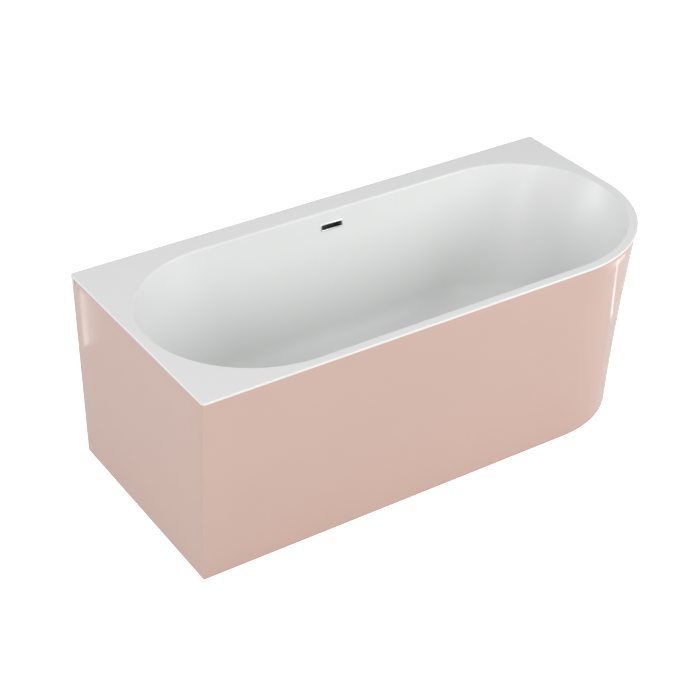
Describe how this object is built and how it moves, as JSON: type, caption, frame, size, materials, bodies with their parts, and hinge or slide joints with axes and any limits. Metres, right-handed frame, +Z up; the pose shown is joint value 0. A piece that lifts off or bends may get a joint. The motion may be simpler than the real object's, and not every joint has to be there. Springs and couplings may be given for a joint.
{
  "type": "corner bathtub",
  "caption": "Back-to-wall corner bathtub with one rounded front corner, a deck, a basin and a casing, on a frame with adjustable feet, with click-clack waste, slot overflow and trap.",
  "frame": {"origin": "on the floor under the middle of the deck's outline", "axes": "+X along the bath from the straight end to the rounded end, +Y towards the wall behind, +Z up"},
  "size_m": [1.6, 0.76, 0.6],
  "materials": {
    "white_acrylic": "gloss",
    "pink_acrylic": "gloss",
    "glass_fibre": "rough",
    "particle_board": "raw",
    "softwood": "raw",
    "galvanised_steel": "satin",
    "zinc_fastener": "satin",
    "black_plastic": "satin",
    "white_plastic": "satin",
    "grey_plastic": "satin",
    "chrome": "polished",
    "rubber": "matte"
  },
  "bodies": {
    "bath": {"bath_shell": "white_acrylic", "fibre_backing": "glass_fibre", "casing": "pink_acrylic", "base_board": "particle_board", "rim_batten": "softwood", "frame_rail_front": "galvanised_steel", "frame_rail_back": "galvanised_steel", "crossbar_left": "galvanised_steel", "crossbar_middle": "galvanised_steel", "crossbar_right": "galvanised_steel", "upright_left": "galvanised_steel", "upright_right": "galvanised_steel", "casing_brackets": "galvanised_steel", "tube_caps": "black_plastic", "board_screws": "zinc_fastener", "batten_screws": "zinc_fastener", "bracket_screws": "zinc_fastener", "weld_nuts": "zinc_fastener", "lock_nuts": "zinc_fastener", "overflow_trim": "chrome", "overflow_gasket": "rubber", "overflow_body": "black_plastic", "overflow_hose": "grey_plastic", "hose_nut_top": "white_plastic", "hose_nut_bottom": "white_plastic", "waste_flange": "chrome", "flange_gasket": "rubber", "body_gasket": "rubber", "waste_body": "white_plastic", "click_cartridge": "chrome", "trap_body": "white_plastic", "trap_nut": "white_plastic", "trap_cleanout": "white_plastic", "outlet_nut": "white_plastic", "waste_tail": "white_plastic"},
    "plug": {"plug_cap": "chrome", "plug_seal": "rubber", "plug_stem": "zinc_fastener"},
    "foot_left_front": {"foot_rod_left_front": "zinc_fastener", "foot_pad_left_front": "black_plastic"},
    "foot_left_back": {"foot_rod_left_back": "zinc_fastener", "foot_pad_left_back": "black_plastic"},
    "foot_middle_front": {"foot_rod_middle_front": "zinc_fastener", "foot_pad_middle_front": "black_plastic"},
    "foot_middle_back": {"foot_rod_middle_back": "zinc_fastener", "foot_pad_middle_back": "black_plastic"},
    "foot_right_front": {"foot_rod_right_front": "zinc_fastener", "foot_pad_right_front": "black_plastic"},
    "foot_right_back": {"foot_rod_right_back": "zinc_fastener", "foot_pad_right_back": "black_plastic"}
  },
  "joints": [
    {"name": "plug_lift", "type": "slide", "parent": "bath", "child": "plug", "axis": [0, 0, 1], "range_m": [0, 0.009]},
    {"name": "foot_left_front_height", "type": "slide", "parent": "bath", "child": "foot_left_front", "axis": [0, 0, 1], "range_m": [-0.02, 0.003]},
    {"name": "foot_left_back_height", "type": "slide", "parent": "bath", "child": "foot_left_back", "axis": [0, 0, 1], "range_m": [-0.02, 0.003]},
    {"name": "foot_middle_front_height", "type": "slide", "parent": "bath", "child": "foot_middle_front", "axis": [0, 0, 1], "range_m": [-0.02, 0.003]},
    {"name": "foot_middle_back_height", "type": "slide", "parent": "bath", "child": "foot_middle_back", "axis": [0, 0, 1], "range_m": [-0.02, 0.003]},
    {"name": "foot_right_front_height", "type": "slide", "parent": "bath", "child": "foot_right_front", "axis": [0, 0, 1], "range_m": [-0.02, 0.003]},
    {"name": "foot_right_back_height", "type": "slide", "parent": "bath", "child": "foot_right_back", "axis": [0, 0, 1], "range_m": [-0.02, 0.003]}
  ]
}
